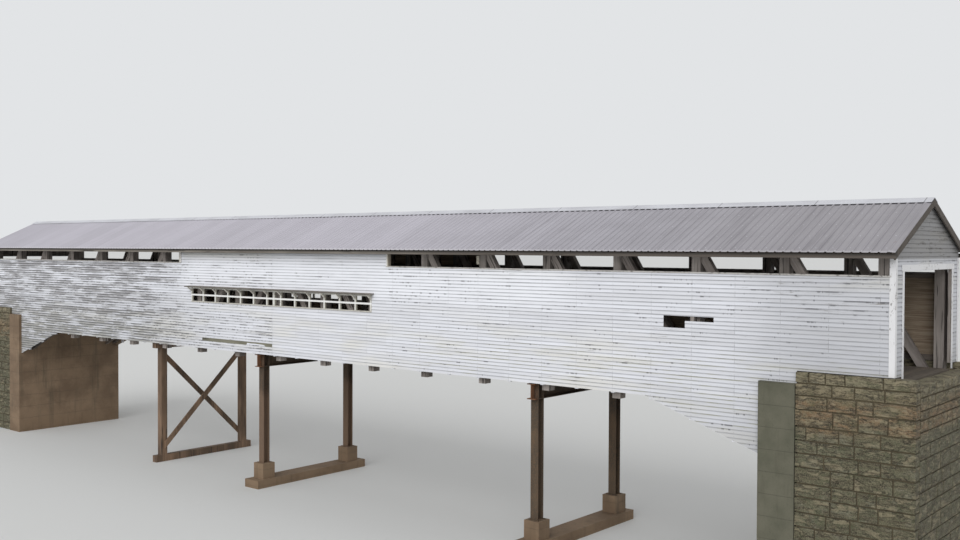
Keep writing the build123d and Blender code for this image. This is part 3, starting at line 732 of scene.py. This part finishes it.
clapboards = {
    "Top": 4.596,
    "Exposure": 0.058,
    "Lap": 0.008,
    "Board length": 1.95,
    "Joint gap": 0.0025,
    "Nailer spacing": 0.6675,
    "Butt": 0.0095,
    "Looseness": 0.0009,
}
boardShape = {"thin edge": 0.0026, "back": 0.52, "lean": 0.0006, "jitter": 0.24}
cutterReach = 0.03


def clapboardTree():
    kinds = {"Courses": int, "Seed": int, "Left": float, "Right": float, "Turn": float, "Base": tuple}
    kinds.update({"Missing from": tuple, "Missing to": tuple, "Outline": bpy.types.Object})
    sheet, given = newTree("clapboard courses", {**clapboards, **kinds})
    perCourse = ((given["Right"] - given["Left"]) / given["Board length"]).floor() + 3
    index = sheet.geo("InputIndex")
    course, place = (index / perCourse).floor(), index.mod(perCourse)
    shift = sheet.dice(course * 31 + 5, 0.0, 1.0)

    def joint(number):
        # joints fall on a nailer, each course shifted from the last
        jitter = sheet.dice(course * 67 + number * 3 + 11, -boardShape["jitter"], boardShape["jitter"])
        spot = given["Left"] + (number - 1 - shift + jitter) * given["Board length"]
        return (spot / given["Nailer spacing"]).nearest() * given["Nailer spacing"]

    left, right = joint(place), joint(place + 1)
    butt = given["Top"] - (course + 1) * given["Exposure"]
    loose = sheet.dice(index + 3001, 0.0, 1.0) * given["Looseness"]
    spots = sheet.geo("MeshLine", Count=perCourse * given["Courses"])
    spots = sheet.put(spots, sheet.vector((left + right) / 2, loose * -1, butt))
    # one board of unit length: thick at its butt, thin at its top, which tucks behind the course above
    x, y, z = sheet.split(sheet.geo("InputPosition"))
    inward, rise = y + 0.5, z + 0.5
    face = (given["Butt"] * -1) * (1 - rise) + rise * -boardShape["thin edge"]
    back = (given["Butt"] * -boardShape["back"]) * (1 - rise)
    depth = face * (1 - inward) + back * inward
    board = sheet.put(sheet.geo("MeshCube"), sheet.vector(x, depth, rise * (given["Exposure"] + given["Lap"])))
    lean = sheet.vector(0.0, sheet.dice(index + 77, -boardShape["lean"], boardShape["lean"]), 0.0)
    size = sheet.vector(right - left - given["Joint gap"], 1.0, 1.0)
    boards = sheet.geo("InstanceOnPoints", Points=spots, Instance=board, Rotation=lean, Scale=size)
    boards = sheet.store(boards, "shade", sheet.dice(index + 901, 0.0, 1.0))
    boards = sheet.geo("RealizeInstances", Geometry=boards)
    boards = sheet.store(boards, "board", sheet.read("shade"), "FACE")
    turned = sheet.vector(z=given["Turn"])
    boards = sheet.geo("Transform", Geometry=boards, Translation=given["Base"], Rotation=turned)
    # cut to the wall's outline, then the missing stretch is taken out
    outline = sheet.geo("ObjectInfo", output="Geometry", Object=given["Outline"])
    within = {"operation": "INTERSECT", "solver": "EXACT"}
    boards = sheet.geo("MeshBoolean", within, "Mesh", Mesh=[boards, outline])
    missing = sheet.join(given["Missing to"], given["Missing from"], "SUBTRACT")
    middle = sheet.scaled(sheet.join(given["Missing to"], given["Missing from"]), 0.5)
    gone = sheet.geo("Transform", Geometry=sheet.geo("MeshCube", Size=missing), Translation=middle)
    without = {"operation": "DIFFERENCE", "solver": "EXACT"}
    return endTree(sheet, given, sheet.geo("MeshBoolean", without, "Mesh", Mesh_1=boards, Mesh_2=gone))


def cladWall(node, axis, turn, base, seed, missing=((0.0, 0.0, -9.0), (1.0, 1.0, -8.0))):
    # one wall's courses, from a row above its top down to its foot
    low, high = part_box(node)
    # the outline is thickened so that no face of a board lies on it
    outline = newPiece(node + "_cutter", nodeCopy(node, node + "_cutter"))
    middle = (low[axis] + high[axis]) / 2
    for vertex in outline.data.vertices:
        vertex.co[axis] += cutterReach if vertex.co[axis] > middle else -cutterReach
    if axis == 0:
        right = max(abs(low.y), abs(high.y))
        left = -right
    else:
        left, right = (low.x, high.x) if turn == 0 else (-high.x, -low.x)
    top, exposure = clapboards["Top"], clapboards["Exposure"]
    if high.z > top + hair:
        top += ceil((high.z - top) / exposure - hair) * exposure
    values = {**clapboards, "Left": left, "Right": right, "Top": top, "Courses": ceil((top - low.z) / exposure)}
    values.update({"Seed": seed, "Turn": turn, "Base": base, "Outline": outline})
    values.update(zip(("Missing from", "Missing to"), missing))
    name = node.replace("siding", "clapboards").replace("portal", "portal_clapboards")
    piece = grow(name, wallTree, values, boardFinish)
    bpy.data.objects.remove(outline)
    return piece


wallTree = clapboardTree()
wall = {"plane": 1.3722, "seed": 7}
goneBoard = ((-2.41, -1.45, 2.9004), (-0.057, -1.30, 2.9716))
for side, sign, turn, seed in (("near", -1, 0.0, wall["seed"]), ("far", 1, pi, wall["seed"] + 40)):
    for number, part in enumerate(("left", "middle", "right")):
        node = f"{side}_{part}_siding"
        missing = [goneBoard] if node == "near_middle_siding" else []
        base = (0.0, sign * wall["plane"], 0.0)
        keep(cladWall(node, 1, turn, base, seed + number * 5, *missing), "white_board", node)
# two old boards show where it is gone
strips = [
    ((-2.409, -1.3742, 2.901), (-1.335, -wall["plane"], 2.971)),
    ((-1.333, -1.3744, 2.901), (-0.058, -wall["plane"], 2.971)),
]
trimPiece("bare_strip_backing", strips, backingFinish, "grey_board", 0.0004)
# the splinter left of the torn board: its outline on the wall, its thickness and how it leans out
splinter = {
    "outline": [
        (-0.888, 2.9012), (-0.282, 2.9012), (-0.297, 2.922), (-0.335, 2.9320), (-0.420, 2.9370),
        (-0.610, 2.9410), (-0.742, 2.9380), (-0.858, 2.9450), (-0.872, 2.9230),
    ],
    "back": -1.3746,
    "front": -1.3802,
    "foot": 2.901,
    "lean": 0.03,
}
torn = bpy.data.meshes.new("torn_board_end")
with edited(torn) as shape:
    outline = shape.faces.new([shape.verts.new((x, splinter["back"], z)) for x, z in splinter["outline"]])
    for part in bmesh.ops.extrude_face_region(shape, geom=[outline])["geom"]:
        if isinstance(part, bmesh.types.BMVert):
            part.co.y = splinter["front"] + (part.co.z - splinter["foot"]) * splinter["lean"]
keepMesh("torn_board_end", torn, boardFinish, "white_board")
print("clapboards laid")


# Portals: the same boards over a plank frame

portals = {"back": 12.150, "face": 12.1905, "clearance": 0.0005, "seed": 91}
for name, sign in (("right_portal", 1), ("left_portal", -1)):
    base = (sign * portals["face"], 0.0, 0.0)
    keep(cladWall(name, 0, sign * pi / 2, base, portals["seed"] + sign), "white_board")
    backing = nodeCopy(name, name + "_planks")
    for vertex in backing.vertices:
        if abs(vertex.co.x) > (portals["back"] + portals["face"]) / 2:
            vertex.co.x = sign * (portals["face"] - portals["clearance"])
    keepMesh(name + "_planks", backing, uprightFinish, "white_board", name)
cornerBoards = [
    ((12.128, 1.3822, 3.290), (12.2063, 1.3890, 4.800)),
    ((12.2003, 1.318, 3.290), (12.2063, 1.3818, 4.800)),
]
trimPiece("corner_boards", mirrored(cornerBoards, 0, 1), cornerFinish, "white_trim")
jamb = ((12.2003, 1.045, 3.205), (12.2063, 1.115, 4.640))
head = ((12.2003, -1.145, 4.641), (12.2083, 1.145, 4.721))
trimPiece("portal_trim", mirrored([jamb], 0, 1) + mirrored([head], 0), cornerFinish, "white_trim")
print("portals boarded")


# Roof sheets: one folded profile, run down the slope

roof = {
    "Length": 24.52,
    "Pitch": 0.1143,
    "Rib base": 0.034,
    "Rib top": 0.013,
    "Rib height": 0.0100,
    "Sheet": 0.0012,
    "Ridge": 5.623,
    "Edge": 4.887,
    "Half width": 1.596,
}


def roofTree():
    sheet, given = newTree("folded roof sheet", {**roof, "Side": float})
    count = (given["Length"] / given["Pitch"]).floor()
    index = sheet.geo("InputIndex")
    rib, corner = (index / 4).floor(), index.mod(4)
    inner = corner.above(0.5) - corner.above(2.5)
    foot, tip, side, halfWidth = given["Rib base"] / 2, given["Rib top"] / 2, given["Side"], given["Half width"]
    half = foot + inner * (tip - foot)
    x = (rib - (count - 1) / 2) * given["Pitch"] + half * (corner.above(1.5) * 2 - 1)
    ends = index.above(0.5) * (1 - index.above(count * 4 - 1.5))
    x = x * ends + (1 - ends) * (given["Length"] / 2) * (index.above(2.0) * 2 - 1)
    fall = given["Ridge"] - given["Edge"]
    slant = (fall * fall + halfWidth * halfWidth).root()
    outY, outZ = fall / slant, halfWidth / slant
    sink = (inner * ends - 1) * given["Rib height"]
    top = sheet.vector(x, sink * outY * side, given["Ridge"] + sink * outZ)
    line = sheet.put(sheet.geo("MeshLine", Count=count * 4), top)
    # the folded line runs down the slope, and the skin is then given its thickness
    run = sheet.vector(0.0, halfWidth * side, fall * -1)
    skin = sheet.geo("ExtrudeMesh", {"mode": "EDGES"}, "Mesh", Mesh=line, Offset=run, Offset_Scale=1.0)
    under = sheet.vector(0.0, outY * given["Sheet"] * side * -1, outZ * given["Sheet"] * -1)
    thick = {"Offset": under, "Offset_Scale": 1.0, "Individual": False}
    body = sheet.geo("ExtrudeMesh", {"mode": "FACES"}, "Mesh", Mesh=skin, **thick)
    both = sheet.geo("MergeByDistance", Geometry=sheet.geo("JoinGeometry", Geometry=[skin, body]), Distance=0.0002)
    return endTree(sheet, given, both)


sheetTree = roofTree()
for side, sign in (("near", -1.0), ("far", 1.0)):
    sheets = grow(side + "_ribbed_sheets", sheetTree, {**roof, "Side": sign}, roofFinish)
    keep(sheets, "roof_metal", side + "_roof_sheet")
print("roof sheeted")


# Deck planks

planks = {
    "Reach": 12.22,
    "Width": 0.1222,
    "Gap": 0.0035,
    "Half length": 1.045,
    "Top": 3.200,
    "Thickness": 0.038,
    "Seed": 4,
}


def plankTree():
    sheet, given = newTree("deck planks", planks)
    step = given["Width"] + given["Gap"]
    count = (given["Reach"] * 2 / step).floor()
    index = sheet.geo("InputIndex")
    height = given["Top"] - given["Thickness"] / 2 - sheet.dice(index + 500, 0.0, 0.002)
    centre = sheet.vector((index - (count - 1) / 2) * step, sheet.dice(index, -0.004, 0.004), height)
    line = sheet.put(sheet.geo("MeshLine", Count=count), centre)
    size = sheet.vector(given["Width"], given["Half length"] * 2 - 0.010, given["Thickness"])
    plank = sheet.geo("MeshCube", Size=size, Vertices_Y=5)
    laid = sheet.geo("InstanceOnPoints", Points=line, Instance=plank)
    laid = sheet.store(laid, "plank", sheet.dice(index + 900, 0.0, 1.0))
    return endTree(sheet, given, laid)


keep(grow("deck_planks", plankTree(), planks, deckFinish), "deck_plank", "deck")
print("deck laid")


# Stonework: quarry-faced blocks set round a rubble core

stones = {
    "heights": [
        0.153, 0.166, 0.186, 0.226, 0.186, 0.170, 0.190, 0.215,
        0.185, 0.205, 0.195, 0.210, 0.190, 0.200, 0.215, 0.200,
    ],
    "nearRight": [[0.19, 0.224, 0.26], [0.50, 0.30], [0.44, 0.38], [0.52, 0.33], [0.16, 0.44, 0.19]],
    "shortest": 0.22,
    "longest": 0.56,
    "lowest": 0.09,
    "joint": 0.002,
    "unevenness": 0.005,
    "depth": 0.175,
    "backwall": 12.220,
    "seat": 2.760,
    "seat course": 0.16,
    "top": 3.200,
    "core inset": 0.028,
    "seed": 5,
    "smoothUnder": 30,
}
rockFace = {"Rim": 0.004, "Roughness": 0.013, "Seed": 12}


def stoneTree():
    sheet, given = newTree("quarry-faced blocks", rockFace, True)
    block = sheet.geo("MeshCube", Size=(1.0, 1.0, 1.0), Vertices_X=4, Vertices_Y=4, Vertices_Z=4)
    # the inner rows of points move out towards the rim, which is worn back
    parts = sheet.split(sheet.geo("InputPosition"))
    spread = [part * (1 + part.size().above(0.1) * (1 - part.size().above(0.4)) * 1.3) for part in parts]
    block = sheet.put(block, sheet.vector(*spread))
    outer = sum((part.size().above(0.49) for part in parts), start=0.0)
    block = sheet.store(block, "rim", (outer - 1).most(0.0).least(1.0), "POINT")
    size = sheet.read("size", "FLOAT_VECTOR")
    laid = sheet.geo("InstanceOnPoints", Points=given["Mesh"], Instance=block, Scale=size)
    laid = sheet.store(laid, "stone", sheet.dice(sheet.geo("InputIndex"), 0.0, 1.0))
    laid = sheet.geo("RealizeInstances", Geometry=laid)
    tag = sheet.read("stone")
    spot = sheet.join(sheet.geo("InputPosition"), sheet.vector(tag * 37, tag * 19, tag * 53))
    rough = sheet.noise(spot, 9.0, 3.0, 0.6)
    # the rim sinks most, and no face comes out past the wall's own plane
    sunk = sheet.read("rim") * given["Rim"] * rough * 2
    depth = (rough - 0.70).least(0.0) * given["Roughness"] * 3 - sunk
    laid = sheet.geo("SetPosition", Geometry=laid, Offset=sheet.scaled(sheet.geo("InputNormal"), depth))
    return endTree(sheet, given, laid)


def courseStones(u0, u1, low, high, dice, known=()):
    # (start, end, bottom, top) of each stone in one wall, from the top course down
    rows = []
    top = high
    number = 0
    while top > low + hair:
        bottom = max(low, top - stones["heights"][number % len(stones["heights"])])
        if bottom - low < stones["lowest"]:
            bottom = low
        lengths = list(known[number]) if number < len(known) else []
        u = u0
        while u < u1 - hair:
            end = u + (lengths.pop(0) if lengths else dice.uniform(stones["shortest"], stones["longest"]))
            if u1 - end < stones["shortest"]:
                end = u1
            rows.append((u, end, bottom, top))
            u = end
        top = bottom
        number += 1
    return rows


def layStones(side, sign):
    dice = random.Random(stones["seed"] + sign)
    low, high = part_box(side + "_abutment")
    face, end = (low.x, high.x) if sign > 0 else (-high.x, -low.x)
    half, seat, back, depth = high.y, stones["seat"], stones["backwall"], stones["depth"]
    inner = half - depth
    boxes = []  # low and high x, y and z of each stone, and the axis along its face
    for y0, y1, known in ((-half, -inner, stones["nearRight"]), (inner, half, ())):
        for u0, u1, z0, z1 in courseStones(face, end, 0.0, high.z, dice, known):
            boxes.append((u0, u1, y0, y1, z0, z1, 0))

    def across(low, high, *spans):
        for u0, u1, z0, z1 in courseStones(-inner, inner, low, high, dice):
            boxes.extend((x0, x1, u0, u1, z0, z1, 1) for x0, x1 in spans)

    across(0.0, seat, (end - depth, end), (face, face + depth))
    across(seat, stones["top"], (back, end))
    across(seat - stones["seat course"], seat, (face + depth, back))
    points, sizes = [], []
    for x0, x1, y0, y1, z0, z1, axis in boxes:
        uneven = dice.uniform(0, stones["unevenness"])
        points.append((sign * (x0 + x1) / 2, (y0 + y1) / 2, (z0 + z1) / 2))
        cuts = [stones["joint"], stones["joint"], stones["joint"] + uneven]
        cuts[axis] = stones["joint"] + uneven * 0.5
        sizes.append((x1 - x0 - cuts[0], y1 - y0 - cuts[1], z1 - z0 - cuts[2]))
    mesh = pointMesh(side + "_stones", "size", points, sizes)
    return grow(side + "_abutment_stones", masonryTree, rockFace, stoneFinish, mesh, stones["smoothUnder"])


def rubbleCore(side):
    # the abutment's own shape, drawn in behind the faces of the stones
    name = side + "_abutment_core"
    mesh = nodeCopy(side + "_abutment", name)
    with edited(mesh) as shape:
        shape.normal_update()
        moves = {}
        for vertex in shape.verts:
            ways = {tuple(round(c) for c in face.normal) for face in vertex.link_faces}
            moves[vertex] = sum((Vector(way) for way in ways), Vector())
        for vertex, move in moves.items():
            vertex.co -= move * stones["core inset"]
            vertex.co.z = max(vertex.co.z, 0.0)
    keepMesh(name, mesh, mortarFinish, "sandstone")


masonryTree = stoneTree()
for side, sign in (("right", 1), ("left", -1)):
    keep(layStones(side, sign), "sandstone", side + "_abutment")
    rubbleCore(side)
print("stones laid")


# Screws of the roof and bolts of the timbers: a head on a washer, set on points that know which way they look

screws = {"Head": 0.0040, "Head height": 0.0030, "Washer": 0.0075, "Washer height": 0.0012, "Head sides": 6}
bolts = {"Head": 0.0095, "Head height": 0.0090, "Washer": 0.0190, "Washer height": 0.0030, "Head sides": 6}


def fastenerTree():
    sheet, given = newTree("heads on washers", screws, True)
    parts = []
    for label, start, sides in (("Washer", 0.0, 8), ("Head", given["Washer height"], given["Head sides"])):
        height = given[label + " height"]
        sizes = {"Vertices": sides, "Radius": given[label], "Depth": height}
        disc = sheet.geo("MeshCylinder", {"fill_type": "NGON"}, "Mesh", **sizes)
        parts.append(sheet.geo("Transform", Geometry=disc, Translation=sheet.vector(z=height / 2 + start)))
    whole = sheet.geo("JoinGeometry", Geometry=parts)
    aim = {"Vector": sheet.read("aim", "FLOAT_VECTOR")}
    turn = sheet.node("FunctionNodeAlignRotationToVector", {"axis": "Z"}, aim)
    heads = sheet.geo("InstanceOnPoints", Points=given["Mesh"], Instance=whole, Rotation=turn)
    return endTree(sheet, given, heads)


headTree = fastenerTree()


def setHeads(name, sizes, finish, slot, spots):
    # spots are pairs: a place, and the way its head looks
    points = pointMesh(name + "_spots", "aim", *zip(*spots))
    keep(grow(name, headTree, sizes, finish, points), slot)


fall = roof["Ridge"] - roof["Edge"]
slant = (fall * fall + roof["Half width"] ** 2) ** 0.5
screwRows = {"levels": (0.4295, 0.7781, 1.1267, 1.4752), "count": 214, "pan": 0.0095}
spots = []
for sign in (-1, 1):
    aim = (0.0, sign * fall / slant, roof["Half width"] / slant)
    for y in screwRows["levels"]:
        z = roof["Ridge"] - fall * y / roof["Half width"] - aim[2] * screwRows["pan"]
        for number in range(0, screwRows["count"], 2):
            x = (number - (screwRows["count"] - 1) / 2 + 0.5) * roof["Pitch"]
            spots.append(((x, sign * y - aim[1] * screwRows["pan"], z), aim))
setHeads("roof_screws", screws, ridgeFinish, "roof_metal", spots)

boltAt = {
    "chord": ((-0.042, 2.865), (0.042, 2.8925)),
    "chord faces": ((1.265, 1), (1.115, -1)),
    "rib": ((-0.035, -0.021), (0.035, 0.021)),
    "rib face": 1.053,
    "spacing": 1.335,
    "posts": 9,
    "crown": 4.395,
    "radius": 26.2846,
    "springing": 10.4,
}
spots = []
for number in range(-boltAt["posts"], boltAt["posts"] + 1):
    x = number * boltAt["spacing"]
    for sign in (-1, 1):
        for shift, z in boltAt["chord"]:
            for y, way in boltAt["chord faces"]:
                spots.append(((x + shift, sign * y, z), (0.0, sign * way, 0.0)))
        if abs(x) < boltAt["springing"]:
            arch = boltAt["crown"] - boltAt["radius"] + (boltAt["radius"] ** 2 - x * x) ** 0.5
            for shift, lift in boltAt["rib"]:
                spots.append(((x + shift, sign * boltAt["rib face"], arch + lift), (0.0, -sign, 0.0)))
setHeads("truss_bolts", bolts, steelFinish, "rusty_steel", spots)

# round each pile, a plate on either side of its foot and four stiffeners in the cap above it
piles = {"x": (-0.565, 6.440), "y": (-1.170, 1.170)}
footPlate = ((-0.105, 0.0755, 0.480), (0.105, 0.1045, 0.494))
stiffener = ((0.0075, 0.061, 2.4795), (0.0795, 0.071, 2.7055))
onePile = mirrored([footPlate], 1) + mirrored([stiffener], 0, 1)
plates = [
    tuple((x + dx, y + dy, z) for dx, dy, z in box)
    for x in piles["x"] for y in piles["y"] for box in onePile
]
trimPiece("bent_plates", plates, steelFinish, "rusty_steel", 0.001)
stub = [((5.205, -1.262, 4.640), (5.2695, -1.240, 4.785)), ((5.218, -1.2635, 4.655), (5.230, -1.2621, 4.770))]
trimPiece("stub_board", stub, stubFinish, "grey_board")
print("small parts set")


# Nodes whose shape stays, with their finish

finishes = {
    concreteFinish: "*_bearing_block steel_bent_footings",
    steelFinish: "steel_bent_piles steel_bent_caps steel_bent_pads",
    bentFinish: "timber_bent_*",
    uprightFinish: "*_posts",
    nailerFinish: "siding_nailers",
    braceFinish: "*_braces",
    alongFinish: "*_chord *_arch_rib joists side_rails roof_laths",
    acrossFinish: "tie_beams floor_beams rafters",
    sillFinish: "vent_sills",
    casingFinish: "vent_casings",
    windowFinish: "*_window_frame",
    hoodFinish: "*_window_hood",
    bracketFinish: "hood_brackets",
    ridgeFinish: "ridge_cap",
    eaveFinish: "fascia_boards rake_boards",
}
for node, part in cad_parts.items():
    for material, names in finishes.items():
        if any(fnmatch(node, name) for name in names.split()):
            for place in part.material_slots:
                place.material = material
            break

floorMesh = bpy.data.meshes.new("floor")
reach = light["floorReach"]
floorCorners = [(-reach, -reach, 0.0), (reach, -reach, 0.0), (reach, reach, 0.0), (-reach, reach, 0.0)]
floorMesh.from_pydata(floorCorners, [], [(0, 1, 2, 3)])
floorMesh.materials.append(plainFloor())
newPiece("floor", floorMesh)
print("finishes and floor done")
